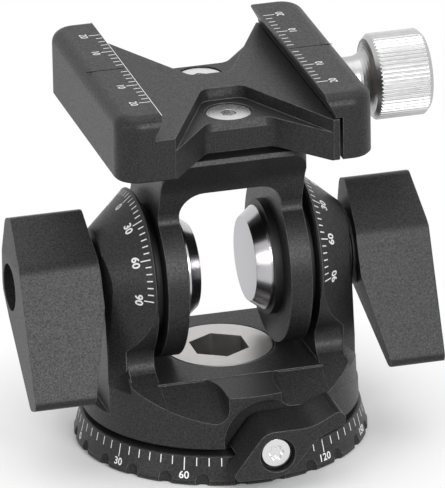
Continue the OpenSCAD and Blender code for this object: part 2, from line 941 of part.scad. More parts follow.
// Steel plug screw at the bottom of the wing knob's outer hole
module knob_plug(back) {
    plug_x = wing_x + back - wing_hole_depth;
    color(satin_steel)
        difference() {
            x_bar(plug_x, plug_x + plug_t, wing_hole_d / 2 - press_gap, axis_z);
            translate([plug_x + plug_t / 2, 0, axis_z])
                rotate([0, 90, 0])
                    hex_socket(plug_socket_af, plug_t);
        }
}

module left_knob_plug() {
    mirror([1, 0, 0])
        knob_plug(left_back_off);
}

module right_knob_plug() {
    knob_plug(0);
}

// Outer edge of the clamp as (reach, z): a small bevel below, an upright face and a rounded top edge
function clamp_edge(reach) =
    concat([[reach - edge, clamp_z], [reach, clamp_z + edge]],
        [for (i = [0 : arc_steps])
            [reach - top_fillet * (1 - cos(90 * i / arc_steps)),
                clamp_top - top_fillet * (1 - sin(90 * i / arc_steps))]]);

// Block from x_in to its outer face at x_out, with rounded top edges and ball corners on three sides
module clamp_block(x_in, x_out) {
    corner_x = x_out - corner_r;
    corner_y = clamp_y - corner_r;
    x_prism(x_in, corner_x)
        polygon(both_sides(clamp_edge(clamp_y)));
    y_prism(corner_y, -corner_y)
        polygon(concat([[corner_x - cut, clamp_z]], clamp_edge(x_out), [[corner_x - cut, clamp_top]]));
    for (side = [1, -1])
        translate([corner_x, side * corner_y, 0])
            rotate(45 * side - 45)
                rotate_extrude(angle = 90)
                    polygon(concat([[0, clamp_z]], clamp_edge(corner_r), [[0, clamp_top]]));
}

// Front outline of the dovetail channel over the clamp's floor, as (x, z)
module channel_front() {
    polygon([[-fixed_lip, clamp_top + cut], [-fixed_lip, clamp_top - lip_t],
        [-fixed_lip - undercut, clamp_top - lip_t - flank_h], [-fixed_lip - undercut, floor_z],
        [body_x + cut, floor_z], [body_x + cut, clamp_top + cut]]);
}

// Front outline of the room under the moving jaw's lip, as (x, z)
module lip_front() {
    polygon([[moving_lip - cut, clamp_z - cut], [jaw_x, clamp_z - cut], [jaw_x, floor_z + jaw_sole_gap],
        [moving_lip + undercut, floor_z + jaw_sole_gap],
        [moving_lip + undercut, clamp_top - lip_t - flank_h],
        [moving_lip, clamp_top - lip_t], [moving_lip - cut, clamp_top - lip_t]]);
}

// Plan of a pocket that opens forward to the mouth, half wide at y0 with corners of radius r
module pocket_plan(half, y0, r) {
    polygon(rounded([[-half, -y0, r], [-mouth_half, -clamp_y, edge], [-mouth_half, -clamp_y - cut, edge],
        [mouth_half, -clamp_y - cut, edge], [mouth_half, -clamp_y, edge], [half, -y0, r]]));
}

// Waisted pocket cut into the front of the clamp's floor, with a sunk ledge for the screw and a sloping sill
module waist_pocket() {
    sill_z = ledge_z - sill_drop;
    translate([waist_x, 0, 0]) {
        translate([0, 0, ledge_z])
            linear_extrude(clamp_top)
                pocket_plan(waist_half, waist_y, waist_r);
        translate([0, 0, clamp_z - cut])
            linear_extrude(sill_z - clamp_z + cut)
                pocket_plan(sill_half, sill_y, sill_r);
        hull() {
            translate([0, 0, sill_z])
                linear_extrude(edge / 4)
                    pocket_plan(sill_half, sill_y, sill_r);
            translate([0, 0, ledge_z])
                linear_extrude(edge)
                    pocket_plan(ledge_half, ledge_y, sill_r);
        }
    }
}

// Fine centre line engraved across a jaw's top
module centre_mark(x0, x1) {
    translate([x0, -mark_w / 2, clamp_top - mark_depth])
        cube([x1 - x0, mark_w, mark_depth + cut]);
}

// Body of the clamp with its fixed jaw, bolted to the yoke
module clamp_body() {
    color(black)
        difference() {
            mirror([1, 0, 0])
                clamp_block(-body_x, fixed_x);
            y_prism(clamp_y + cut, -clamp_y - cut)
                channel_front();
            waist_pocket();
            mirror([0, 1, 0])
                waist_pocket();
            centre_mark(-fixed_x + top_fillet, -fixed_lip + cut);
            for (side = [1, -1])
                translate([0, side * screw_pitch / 2, 0]) {
                    translate([0, 0, clamp_z - cut])
                        cylinder(r = screw_r + press_gap, h = clamp_h);
                    translate([0, 0, ledge_z - screw_sink - screw_head_h])
                        cylinder(r = screw_head_r + clear / 2, h = clamp_h);
                }
            x_bar(spindle_in_x - cut, body_x + cut, spindle_r + run_gap, knob_z);
            for (side = [1, -1])
                translate([0, side * pin_y, 0])
                    x_bar(pin_in_x - jaw_close - clear, body_x + cut, pin_r + run_gap, pin_z);
        }
}

// Two countersunk socket screws that hold the clamp on the yoke
module clamp_screws() {
    color(silver)
        for (side = [1, -1])
            translate([0, side * screw_pitch / 2, 0])
                difference() {
                    union() {
                        translate([0, 0, screw_end_z])
                            cylinder(r = screw_r, h = ledge_z - screw_sink - screw_end_z);
                        translate([0, 0, ledge_z - screw_sink - screw_head_h])
                            cylinder(r = screw_head_r, h = screw_head_h);
                    }
                    translate([0, 0, ledge_z - screw_sink - screw_head_h / 2])
                        hex_socket(screw_socket_af, screw_head_h);
                }
}

// Moving jaw, drawn in by the knob along its two guide pins
module clamp_jaw() {
    color(black)
        difference() {
            clamp_block(moving_lip, moving_x);
            y_prism(clamp_y + cut, -clamp_y - cut)
                lip_front();
            centre_mark(moving_lip - cut, moving_x - top_fillet);
            x_bar(jaw_x - cut, moving_x + cut, spindle_r + run_gap, knob_z);
            for (side = [1, -1])
                translate([0, side * pin_y, 0])
                    x_bar(jaw_x - cut, pin_out_x, pin_r + press_gap, pin_z);
        }
}

// Steel pins fixed in the jaw and sliding in the clamp's body
module guide_pins() {
    color(satin_steel)
        for (side = [1, -1])
            translate([0, side * pin_y, 0])
                x_bar(pin_in_x, pin_out_x, pin_r, pin_z);
}

// Bronze washer between the jaw and the clamp's knob
module jaw_washer() {
    color(bronze)
        x_tube(moving_x, moving_x + jaw_washer_t, neck_d / 2 + edge, spindle_r + run_gap, knob_z);
}

// Knurled clamp knob: a hollow flared neck and a drum with straight teeth
module clamp_knob() {
    neck_r = neck_d / 2;
    flare_r = drum_r - neck_r - drum_bevel;
    flare_x = drum_x - drum_bevel - flare_r;
    flare = [for (i = [0 : arc_steps])
        [flare_x + flare_r * sin(90 * i / arc_steps), neck_r + flare_r * (1 - cos(90 * i / arc_steps))]];
    groove_top = groove_half * (knurl_depth + cut) / knurl_depth;
    color(silver)
        difference() {
            x_turned(concat([[knob_x, 0], [knob_x, neck_r]], flare,
                [[drum_x, drum_r], [knob_end_x - drum_bevel, drum_r], [knob_end_x, drum_r - drum_bevel],
                [knob_end_x, 0]]), knob_z);
            for (i = [0 : knurl_count - 1])
                translate([0, 0, knob_z])
                    rotate([i * 360 / knurl_count, 0, 0])
                        x_prism(drum_x - drum_bevel, knob_end_x + cut)
                            polygon([[drum_r - knurl_depth, 0], [drum_r + cut, groove_top],
                                [drum_r + cut, -groove_top]]);
            x_bar(knob_x - cut, spindle_out_x, spindle_r + press_gap, knob_z);
        }
}

// Clamp spindle, fixed in the knob and screwed into the clamp's body
module clamp_spindle() {
    color(satin_steel)
        x_bar(spindle_in_x, spindle_out_x, spindle_r, knob_z);
}

// Outline of the lever about its pivot: a round hub, a short corner to the left and a bent handle
module lever_outline() {
    translate([lever_x, lever_z])
        polygon(rounded([corner(lever_tail, lever_tail_r), corner(lever_belly, lever_belly_r),
            corner(lever_crook, lever_crook_r), corner(lever_tip_low, lever_tip_r),
            corner(lever_tip_top, lever_tip_r), corner(lever_waist, lever_waist_r),
            corner(lever_crown, lever_crown_r)]));
}

// The part of the lever's outline that reaches back over the base: hub and handle, clear of the scale band
module lever_reach() {
    intersection() {
        lever_outline();
        translate([lever_x, lever_z])
            difference() {
                union() {
                    circle(r = lever_hub_r);
                    translate([0, -lever_step_z])
                        square(pocket_r);
                }
                translate([-pocket_r, -pocket_r - lever_step_z])
                    square([2 * pocket_r, pocket_r]);
            }
    }
}

// Pan lock lever, a deep block keyed on its spindle under a counterbored screw
module lock_lever() {
    color(black)
        difference() {
            union() {
                y_prism(lever_y, lever_step_y)
                    lever_outline();
                y_prism(lever_step_y + edge, lever_back)
                    lever_reach();
            }
            lock_bar(lever_y + cut, lever_seat_y, lever_bore_r);
            lock_bar(lever_y, lever_back - cut, lever_screw_shank + press_gap);
            lock_bar(lock_front_y, lever_back - cut, lock_hub_r + press_gap);
        }
}

// Screw with a six-lobed recess that fixes the lever on the spindle
module lever_screw() {
    face_y = lever_seat_y + lever_screw_t;
    color(silver)
        difference() {
            union() {
                lock_bar(face_y, lever_seat_y, lever_screw_r);
                lock_bar(lever_seat_y + edge, lever_seat_y - lever_screw_len, lever_screw_shank);
            }
            translate([lever_x, -face_y + lever_screw_t / 2, lever_z])
                rotate([90, 0, 0])
                    lobe_socket(lever_screw_t);
        }
}

// Lock spindle fixed in the lever, screwing the tip inward when the lever is turned
module lock_spindle() {
    color(satin_steel)
        difference() {
            union() {
                lock_bar(lock_front_y, lock_hub_y + slide_gap, lock_hub_r);
                lock_bar(lock_hub_y + edge, tip_y + press_gap, lock_r);
            }
            lock_bar(lock_front_y + cut, lever_seat_y - lever_screw_len - edge, lever_screw_shank + press_gap);
        }
}

// Brass tip on the spindle's end that bears on the base's pillar
module lock_tip() {
    color(bronze)
        lock_bar(tip_y, tip_end_y, tip_r);
}

pan_base();
thread_insert();
pan_slide_ring();
centre_bolt();
fork_body();
pan_bush();
pan_thrust_washer();
ear_bushes();
thrust_washers();
yoke();
left_axle();
right_axle();
axle_collars();
friction_washers();
left_wing_knob();
right_wing_knob();
left_knob_nut();
right_knob_nut();
left_knob_plug();
right_knob_plug();
clamp_body();
clamp_screws();
clamp_jaw();
guide_pins();
jaw_washer();
clamp_knob();
clamp_spindle();
lock_lever();
lever_screw();
lock_spindle();
lock_tip();
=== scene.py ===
"""Tilt head for a camera: the finishes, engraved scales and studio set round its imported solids."""

import json
from math import cos, pi, radians, sin

import bmesh
import bpy
from mathutils import Matrix, Vector


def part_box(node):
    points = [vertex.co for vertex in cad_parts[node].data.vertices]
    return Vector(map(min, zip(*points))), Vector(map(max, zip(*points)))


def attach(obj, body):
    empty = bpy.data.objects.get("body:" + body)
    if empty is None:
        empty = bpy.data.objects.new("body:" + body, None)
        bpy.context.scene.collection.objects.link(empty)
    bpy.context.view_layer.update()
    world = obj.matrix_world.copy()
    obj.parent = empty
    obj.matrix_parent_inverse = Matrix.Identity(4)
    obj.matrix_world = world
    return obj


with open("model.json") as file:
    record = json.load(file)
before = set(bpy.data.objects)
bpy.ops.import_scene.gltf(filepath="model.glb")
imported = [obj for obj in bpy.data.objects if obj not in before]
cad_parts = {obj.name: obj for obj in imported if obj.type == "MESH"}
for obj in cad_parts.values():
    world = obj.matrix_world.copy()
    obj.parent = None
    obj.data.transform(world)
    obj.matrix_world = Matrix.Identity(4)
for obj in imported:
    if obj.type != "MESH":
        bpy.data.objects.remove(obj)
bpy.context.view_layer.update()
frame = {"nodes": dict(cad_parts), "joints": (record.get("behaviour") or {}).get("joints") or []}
nodes = frame["nodes"]
mm = 0.001


# Pan base: a disc turned from aluminium bar, its sloping band engraved with a full circle of degrees.
# The rim is notched for grip, and the whole piece is bead-blasted, anodised black and paint-filled.
base_rim_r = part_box("pan_base")[1].x
band_top_r = 29.4 * mm
band_top_z = 6.0 * mm
band_foot_r = base_rim_r - 0.2 * mm
band_foot_z = 1.4 * mm
blast_black = (0.004, 0.004, 0.0042)
blast_grey = (0.036, 0.036, 0.038)
# Pale grey painted along the black parts' edges: partly rubbed wear, partly a painted highlight on the edges.
worn_and_highlit_grey = (0.28, 0.28, 0.285)
fill_and_highlight_white = (0.9, 0.9, 0.89)
fill_proud = 0.015 * mm
fill_depth = 0.06 * mm
degree_step = 5
degree_long = 30
base_tick_long = 2.75 * mm
base_tick_short = 1.75 * mm
base_tick_in = 0.15 * mm
base_tick_w = 0.2 * mm
base_number_h = 1.55 * mm
base_number_up = 0.76 * mm
base_number_weight = 0.02
digit_share = 0.7
black_edge_r = 0.3 * mm
grain_size = 0.36 * mm
grain_depth = 0.05 * mm
rub_and_highlight_patch = 1.4 * mm


def new_finish(name, colour, roughness, metallic=0.0):
    """A material with the constant part of a finish set on its shader."""
    finish = bpy.data.materials.new(name)
    finish.use_nodes = True
    shader = finish.node_tree.nodes["Principled BSDF"]
    shader.inputs["Base Color"].default_value = (*colour, 1)
    shader.inputs["Roughness"].default_value = roughness
    shader.inputs["Metallic"].default_value = metallic
    return finish


def shader_of(finish):
    """The main shader of a finish."""
    return finish.node_tree.nodes["Principled BSDF"]


def add_node(finish, kind, **settings):
    """One node of that kind, with its settings."""
    node = finish.node_tree.nodes.new(kind)
    for key, value in settings.items():
        setattr(node, key, value)
    return node


def noise(finish, grain, detail=2.0):
    """Noise with lumps of about that size, fixed to the piece."""
    place = add_node(finish, "ShaderNodeTexCoord")
    texture = add_node(finish, "ShaderNodeTexNoise")
    texture.inputs["Scale"].default_value = 1 / grain
    texture.inputs["Detail"].default_value = detail
    finish.node_tree.links.new(place.outputs["Object"], texture.inputs["Vector"])
    return texture.outputs["Fac"]


def spread(finish, value, low, high, start=0.3, end=0.7):
    """The value between start and end, spread from low to high."""
    node = add_node(finish, "ShaderNodeMapRange")
    finish.node_tree.links.new(value, node.inputs["Value"])
    for socket, number in (("From Min", start), ("From Max", end), ("To Min", low), ("To Max", high)):
        node.inputs[socket].default_value = number
    return node.outputs["Result"]


def soft_edges(finish, radius):
    """The normal with every sharp edge rounded by that radius."""
    node = add_node(finish, "ShaderNodeBevel", samples=6)
    node.inputs["Radius"].default_value = radius
    return node.outputs["Normal"]


def grain_bump(finish, height, depth, strength, normal):
    """Fine relief of that depth on the given normal, on the finish's shader."""
    node = add_node(finish, "ShaderNodeBump")
    node.inputs["Distance"].default_value = depth
    node.inputs["Strength"].default_value = strength
    links = finish.node_tree.links
    links.new(height, node.inputs["Height"])
    links.new(normal, node.inputs["Normal"])
    links.new(node.outputs["Normal"], shader_of(finish).inputs["Normal"])


def worn_edges(finish, dark, pale, grain, worn_and_highlit, normal):
    """A colour speckled from dark to pale by the grain, and painted pale along sharp edges: partly rubbed
    wear, partly a painted highlight on the edges.
    """
    links = finish.node_tree.links
    speckle = add_node(finish, "ShaderNodeMix", data_type="RGBA")
    speckle.inputs["A"].default_value = (*dark, 1)
    speckle.inputs["B"].default_value = (*pale, 1)
    links.new(spread(finish, grain, low=0, high=1), speckle.inputs["Factor"])
    surface = add_node(finish, "ShaderNodeNewGeometry")
    turn = add_node(finish, "ShaderNodeVectorMath", operation="DOT_PRODUCT")
    links.new(surface.outputs["Normal"], turn.inputs[0])
    links.new(normal, turn.inputs[1])
    # Sharp edges get the pale colour: partly rubbed wear, partly a painted highlight.
    rub_and_highlight = add_node(finish, "ShaderNodeMath", operation="MULTIPLY")
    sharp = spread(finish, turn.outputs["Value"], low=1, high=0, start=0.72, end=0.97)
    links.new(sharp, rub_and_highlight.inputs[0])
    links.new(spread(finish, noise(finish, rub_and_highlight_patch), low=0.35, high=1), rub_and_highlight.inputs[1])
    tint = add_node(finish, "ShaderNodeMix", data_type="RGBA")
    tint.inputs["B"].default_value = (*worn_and_highlit, 1)
    links.new(speckle.outputs["Result"], tint.inputs["A"])
    links.new(rub_and_highlight.outputs["Value"], tint.inputs["Factor"])
    links.new(tint.outputs["Result"], shader_of(finish).inputs["Base Color"])


def wear_finish(name, finish):
    """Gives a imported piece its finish."""
    piece = nodes[name]
    piece.data.materials.clear()
    piece.data.materials.append(finish)


black_anodised = new_finish("black_anodised", blast_black, 0.4)
shader_of(black_anodised).inputs["Specular IOR Level"].default_value = 0.3
black_edges = soft_edges(black_anodised, black_edge_r)
black_grain = noise(black_anodised, grain_size, detail=4)
worn_edges(black_anodised, blast_black, blast_grey, black_grain, worn_and_highlit_grey, black_edges)
black_roughness = spread(black_anodised, black_grain, low=0.48, high=0.34)
black_anodised.node_tree.links.new(black_roughness, shader_of(black_anodised).inputs["Roughness"])
grain_bump(black_anodised, black_grain, grain_depth, strength=0.55, normal=black_edges)
wear_finish("pan_base", black_anodised)

# White paint of the engraved marks, also used for the painted highlight along the fixed jaw's lip.
white_fill_and_highlight = new_finish("white_fill_and_highlight", fill_and_highlight_white, 0.6)
fill_roughness = spread(white_fill_and_highlight, noise(white_fill_and_highlight, 0.5 * mm), low=0.5, high=0.7)
white_fill_and_highlight.node_tree.links.new(fill_roughness, shader_of(white_fill_and_highlight).inputs["Roughness"])


def number_faces(text, height, weight):
    """Corner points and faces of a number, flat and centred on the origin, as (across, up, out)."""
    outline = bpy.data.curves.new("number", "FONT")
    outline.body = text
    outline.align_x = "CENTER"
    outline.align_y = "CENTER"
    outline.size = height / digit_share
    outline.offset = height * weight
    outline.extrude = (fill_proud + fill_depth) / 2
    outline.resolution_u = 3
    pattern = bpy.data.objects.new("number", outline)
    bpy.context.scene.collection.objects.link(pattern)
    bpy.context.view_layer.update()
    flat = bpy.data.meshes.new_from_object(pattern)
    points = [v.co + Vector((0, 0, (fill_proud - fill_depth) / 2)) for v in flat.vertices]
    faces = [list(p.vertices) for p in flat.polygons]
    bpy.data.objects.remove(pattern)
    bpy.data.curves.remove(outline)
    bpy.data.meshes.remove(flat)
    return points, faces


def tick_faces(across, up_from, up_to, width):
    """Corner points and faces of one tick, as (across, up, out)."""
    points = [Vector((across + side * width / 2, up, out))
        for out in (-fill_depth, fill_proud) for up in (up_from, up_to) for side in (-1, 1)]
    return points, [(0, 1, 3, 2), (4, 6, 7, 5), (0, 2, 6, 4), (1, 5, 7, 3), (0, 4, 5, 1), (2, 3, 7, 6)]


def engraved_scale(name, body, marks, lay, fill):
    """A paint-filled scale as one piece: lay() puts each flat point (across, up, out) on the metal."""
    shape = bmesh.new()
    for points, faces in marks:
        corners = [shape.verts.new(lay(p)) for p in points]
        for face in faces:
            shape.faces.new([corners[i] for i in face])
    bmesh.ops.remove_doubles(shape, verts=shape.verts, dist=0.001 * mm)
    bmesh.ops.recalc_face_normals(shape, faces=shape.faces)
    mesh = bpy.data.meshes.new(name)
    shape.to_mesh(mesh)
    shape.free()
    mesh.materials.append(fill)
    piece = bpy.data.objects.new(name, mesh)
    bpy.context.scene.collection.objects.link(piece)
    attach(piece, body)


def moved(mark, across, up, turn=0.0):
    """A mark turned about its middle and moved on the flat."""
    points, faces = mark
    turned = [Matrix.Rotation(turn, 3, "Z") @ p + Vector((across, up, 0)) for p in points]
    return turned, faces


band_drop = Vector((band_foot_r - band_top_r, band_foot_z - band_top_z))
band_len = band_drop.length
band_mid_r = (band_foot_r + band_top_r) / 2


def on_band(point):
    """A flat point on the base's band: across in metres of arc, up from the band's lower edge."""
    share = 1 - point.y / band_len
    out = Vector((-band_drop.y, band_drop.x)).normalized() * point.z
    r = band_top_r + band_drop.x * share + out.x
    turn = point.x / band_mid_r
    return Vector((-cos(turn) * r, -sin(turn) * r, band_top_z + band_drop.y * share + out.y))


base_marks = []
for degree in range(0, 360, degree_step):
    across = radians(degree) * band_mid_r
    long = degree % degree_long == 0
    tick_top = band_len - base_tick_in
    tick_foot = tick_top - (base_tick_long if long else base_tick_short)
    base_marks.append(tick_faces(across, tick_foot, tick_top, base_tick_w))
    if long:
        number = number_faces(str(degree), base_number_h, base_number_weight)
        base_marks.append(moved(number, across, base_number_up))
engraved_scale("base_scale", "base", base_marks, on_band, white_fill_and_highlight)


# Thread insert and slide ring: a steel bush with the tripod's thread, pressed into the base from below,
# and the thin polymer ring that the fork's sole slides on.
steel_grey = (0.56, 0.54, 0.53)
# The polymer's own black, also used for the painted shade in the jaws' centre grooves.
polymer_and_shade_black = (0.008, 0.008, 0.008)
bolt_ring_pitch = 0.16 * mm
wave_turns = 20


def turned_lines(finish, axis, centre, pitch, depth, strength, normal):
    """Fine turning lines round an axis through the centre, as relief on the finish."""
    place = add_node(finish, "ShaderNodeTexCoord")
    shift = add_node(finish, "ShaderNodeMapping")
    shift.inputs["Location"].default_value = [-c for c in centre]
    rings = add_node(finish, "ShaderNodeTexWave", wave_type="RINGS", rings_direction=axis)
    rings.inputs["Scale"].default_value = 2 * pi / (wave_turns * pitch)
    rings.inputs["Distortion"].default_value = 3
    rings.inputs["Detail"].default_value = 2
    links = finish.node_tree.links
    links.new(place.outputs["Object"], shift.inputs["Vector"])
    links.new(shift.outputs["Vector"], rings.inputs["Vector"])
    grain_bump(finish, rings.outputs["Fac"], depth, strength, normal)


def metal_finish(name, colour, rough_low, rough_high, edge_r):
    """A bare metal with patchy roughness, and the normal of its softened edges."""
    finish = new_finish(name, colour, (rough_low + rough_high) / 2, 1.0)
    patches = spread(finish, noise(finish, 1.2 * mm, detail=4), rough_low, rough_high)
    finish.node_tree.links.new(patches, shader_of(finish).inputs["Roughness"])
    return finish, soft_edges(finish, edge_r)


pan_axis = (0, 0, 0)
steel_bolt, bolt_edges = metal_finish(
    "satin_steel_bolt", steel_grey, rough_low=0.3, rough_high=0.4, edge_r=0.2 * mm)
turned_lines(steel_bolt, "Z", pan_axis, bolt_ring_pitch, depth=0.004 * mm, strength=0.5, normal=bolt_edges)
wear_finish("thread_insert", steel_bolt)

black_polymer = new_finish("black_polymer", polymer_and_shade_black, 0.5)
polymer_edges = soft_edges(black_polymer, 0.2 * mm)
grain_bump(black_polymer, noise(black_polymer, 0.3 * mm), depth=0.01 * mm, strength=0.5, normal=polymer_edges)
wear_finish("pan_slide_ring", black_polymer)


# Centre bolt: a hollow steel shoulder bolt with a large hex socket, turned from bar and left satin.
# It holds the fork down on the base, its flat head flush with the deck.
wear_finish("centre_bolt", steel_bolt)


# Fork: milled from one block of aluminium, blasted and anodised like the base. Its two coned ears carry
# the tilt scale, engraved both ways from upright and filled with white.
tilt_z = next(j for j in frame["joints"] if j["name"] == "tilt")["pos_m"][2]
ear_rim_x = 18.3 * mm
ear_rim_r = 17.2 * mm
ear_end_x = 26.2 * mm
ear_end_r = 10.4 * mm
ear_slope = Vector((ear_end_x - ear_rim_x, ear_end_r - ear_rim_r))
ear_scale_end = 90
ear_tick_long = 2.3 * mm
ear_tick_short = 1.35 * mm
ear_tick_w = 0.26 * mm
ear_number_h = 1.75 * mm
ear_number_up = 3.55 * mm
ear_number_wide = 1.12
ear_number_weight = 0.04
wear_finish("fork_body", black_anodised)


def on_ear(side):
    """Lays flat points on one ear's cone: across in metres of arc at the rim, up from the rim outward."""
    def lay(point):
        along = ear_slope.normalized() * point.y
        out = Vector((-ear_slope.y, ear_slope.x)).normalized() * point.z
        r = ear_rim_r + along.y + out.y
        turn = point.x / ear_rim_r
        return Vector((side * (ear_rim_x + along.x + out.x), -sin(turn) * r, tilt_z + cos(turn) * r))
    return lay


for side, name in ((-1, "left_ear_scale"), (1, "right_ear_scale")):
    ear_marks = []
    for degree in range(-ear_scale_end, ear_scale_end + 1, degree_step):
        across = radians(degree) * ear_rim_r
        long = degree % degree_long == 0
        ear_marks.append(tick_faces(across, 0, ear_tick_long if long else ear_tick_short, ear_tick_w))
        if long:
            points, faces = number_faces(str(abs(degree)), ear_number_h, ear_number_weight)
            flat = [Vector((-side * p.x * ear_number_wide, -p.y, p.z)) for p in points]
            ear_marks.append(moved((flat, faces), across, ear_number_up))
    engraved_scale(name, "fork", ear_marks, on_ear(side), white_fill_and_highlight)


# Bushes and washers of the fork: plain bearing bronze round the centre bolt and the axles, and the dark
# polymer washers that the wing knobs bear on.
bronze_brown = (0.62, 0.36, 0.22)
tilt_axis = (0, 0, tilt_z)
bronze, bronze_edges = metal_finish("bronze", bronze_brown, rough_low=0.25, rough_high=0.4, edge_r=0.1 * mm)
grain_bump(bronze, noise(bronze, 0.2 * mm), depth=0.01 * mm, strength=0.3, normal=bronze_edges)
for name in ("pan_bush", "pan_thrust_washer", "ear_bushes"):
    wear_finish(name, bronze)

wear_finish("thrust_washers", black_polymer)


# Yoke: an arch milled from one block, blasted and anodised black, that tilts between the ears.
# Dark polymer collars and friction washers sit on its two sides round the axles.
wear_finish("yoke", black_anodised)
for name in ("axle_collars", "friction_washers"):
    wear_finish(name, black_polymer)


# Axles: steel studs through the yoke's arms, with broad heads that have a satin face and a polished bevel.
# They are turned from bar, so the flat faces keep fine rings round the tilt axis.
axle_grey = (0.5, 0.49, 0.51)
axle_ring_pitch = 0.14 * mm
steel_axle = new_finish("satin_steel_axle", axle_grey, 0.3, 1.0)
axle_place = add_node(steel_axle, "ShaderNodeTexCoord")
axle_facing = add_node(steel_axle, "ShaderNodeSeparateXYZ")
steel_axle.node_tree.links.new(axle_place.outputs["Normal"], axle_facing.inputs["Vector"])
axle_flat = add_node(steel_axle, "ShaderNodeMath", operation="ABSOLUTE")
steel_axle.node_tree.links.new(axle_facing.outputs["X"], axle_flat.inputs[0])
axle_roughness = spread(steel_axle, axle_flat.outputs["Value"], low=0.2, high=0.32, start=0.85, end=0.97)
steel_axle.node_tree.links.new(axle_roughness, shader_of(steel_axle).inputs["Roughness"])
axle_edges = soft_edges(steel_axle, 0.15 * mm)
turned_lines(steel_axle, "X", tilt_axis, axle_ring_pitch, depth=0.002 * mm, strength=0.3, normal=axle_edges)
for name in ("left_axle", "right_axle"):
    wear_finish(name, steel_axle)


# Wing knobs: two aluminium castings, blasted and anodised black, each with a brass nut inside and a steel
# plug at the bottom of its outer hole.
for name in ("left_wing_knob", "right_wing_knob"):
    wear_finish(name, black_anodised)
for name in ("left_knob_nut", "right_knob_nut"):
    wear_finish(name, bronze)
for name in ("left_knob_plug", "right_knob_plug"):
    wear_finish(name, steel_axle)


# Clamp body: a milled plate with the fixed jaw, bolted on the yoke by two plated countersunk screws.
# A millimetre scale is engraved on the jaw's top along its lip. A flat black strip in the groove across its
# middle is painted shade, and a white strip along the lip's edge is a painted highlight.
clamp_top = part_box("clamp_body")[1].z
fixed_lip_x = -18.6 * mm
length_step = 2
length_long = 10
length_end = 20
jaw_tick_from = 0.3 * mm
jaw_tick_long = 2.7 * mm
jaw_tick_short = 1.7 * mm
jaw_tick_w = 0.22 * mm
jaw_number_h = 1.6 * mm
jaw_number_up = 3.9 * mm
jaw_number_weight = 0.005
jaw_line_in = 0.9 * mm
jaw_line_w = 0.2 * mm
lip_half = 28 * mm
lip_highlight_w = 0.13 * mm
plated_grey = (0.74, 0.74, 0.74)
wear_finish("clamp_body", black_anodised)

plated_steel, plated_edges = metal_finish(
    "bright_steel", plated_grey, rough_low=0.24, rough_high=0.28, edge_r=0.15 * mm)
grain_bump(plated_steel, noise(plated_steel, 0.15 * mm), depth=0.006 * mm, strength=0.4, normal=plated_edges)
wear_finish("clamp_screws", plated_steel)


def jaw_marks():
    """Ticks and numbers of a jaw's scale, up from its lip outward."""
    marks = []
    for place in range(-length_end, length_end + 1, length_step):
        if place:
            long = place % length_long == 0
            tick_end = jaw_tick_long if long else jaw_tick_short
            marks.append(tick_faces(place * mm, jaw_tick_from, tick_end, jaw_tick_w))
            if long:
                number = number_faces(str(abs(place)), jaw_number_h, jaw_number_weight)
                marks.append(moved(number, place * mm, jaw_number_up, pi))
    return marks


def on_jaw(lip_x, side):
    """Lays flat points on a jaw's top: across along the lip, up away from it."""
    return lambda point: Vector((lip_x + side * point.y, side * -point.x, clamp_top + point.z))


# A flat black that reflects nothing, laid in the jaws' centre grooves as painted shade.
groove_painted_shade = new_finish("groove_painted_shade", polymer_and_shade_black, 1)
shader_of(groove_painted_shade).inputs["Specular IOR Level"].default_value = 0


def centre_line(lip_x, outer_x):
    """A flat black strip in the groove across a jaw's top at the middle of its scale: painted shade."""
    return [tick_faces(0, jaw_tick_from, abs(outer_x - lip_x) - jaw_line_in, jaw_line_w)]


on_fixed_jaw = on_jaw(fixed_lip_x, -1)
engraved_scale("fixed_jaw_scale", "tilt_yoke", jaw_marks(), on_fixed_jaw, white_fill_and_highlight)
# The black strip in the fixed jaw's centre groove is painted shade.
fixed_groove_shade = centre_line(fixed_lip_x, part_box("clamp_body")[0].x)
engraved_scale("fixed_jaw_groove_shade", "tilt_yoke", fixed_groove_shade, on_fixed_jaw, groove_painted_shade)
# A thin white strip along the fixed jaw's lip, standing for the light caught by its edge: a painted
# highlight.
lip_painted_highlight = [tick_faces(0, 0, lip_highlight_w, 2 * lip_half)]
engraved_scale("fixed_jaw_painted_highlight", "tilt_yoke", lip_painted_highlight, on_fixed_jaw, white_fill_and_highlight)


# Moving jaw: milled and finished like the clamp's body, with the same scale, on two steel guide pins.
# A bronze washer lies between it and the knob.
moving_lip_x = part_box("clamp_jaw")[0].x
wear_finish("clamp_jaw", black_anodised)
wear_finish("guide_pins", steel_axle)
wear_finish("jaw_washer", bronze)
on_moving_jaw = on_jaw(moving_lip_x, 1)
engraved_scale("moving_jaw_scale", "jaw", jaw_marks(), on_moving_jaw, white_fill_and_highlight)
# The black strip in the moving jaw's centre groove is painted shade.
moving_groove_shade = centre_line(moving_lip_x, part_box("clamp_jaw")[1].x)
engraved_scale("moving_jaw_groove_shade", "jaw", moving_groove_shade, on_moving_jaw, groove_painted_shade)


# Clamp knob: turned from aluminium, its drum knurled straight, and clear anodised. It is fixed on a steel
# spindle that screws into the clamp body and draws the moving jaw in.
silver_grey = (0.5, 0.5, 0.5)
clear_anodised, silver_edges = metal_finish(
    "silver_anodised", silver_grey, rough_low=0.3, rough_high=0.42, edge_r=0.1 * mm)
silver_grain = noise(clear_anodised, 0.12 * mm)
grain_bump(clear_anodised, silver_grain, depth=0.006 * mm, strength=0.4, normal=silver_edges)
wear_finish("clamp_knob", clear_anodised)
wear_finish("clamp_spindle", steel_axle)


# Pan lock: a black lever on a steel spindle, fixed by a plated screw in its counterbore.
# Turning it presses the spindle's brass tip on the base's pillar.
wear_finish("lock_lever", black_anodised)
wear_finish("lever_screw", plated_steel)
wear_finish("lock_spindle", steel_axle)
wear_finish("lock_tip", bronze)


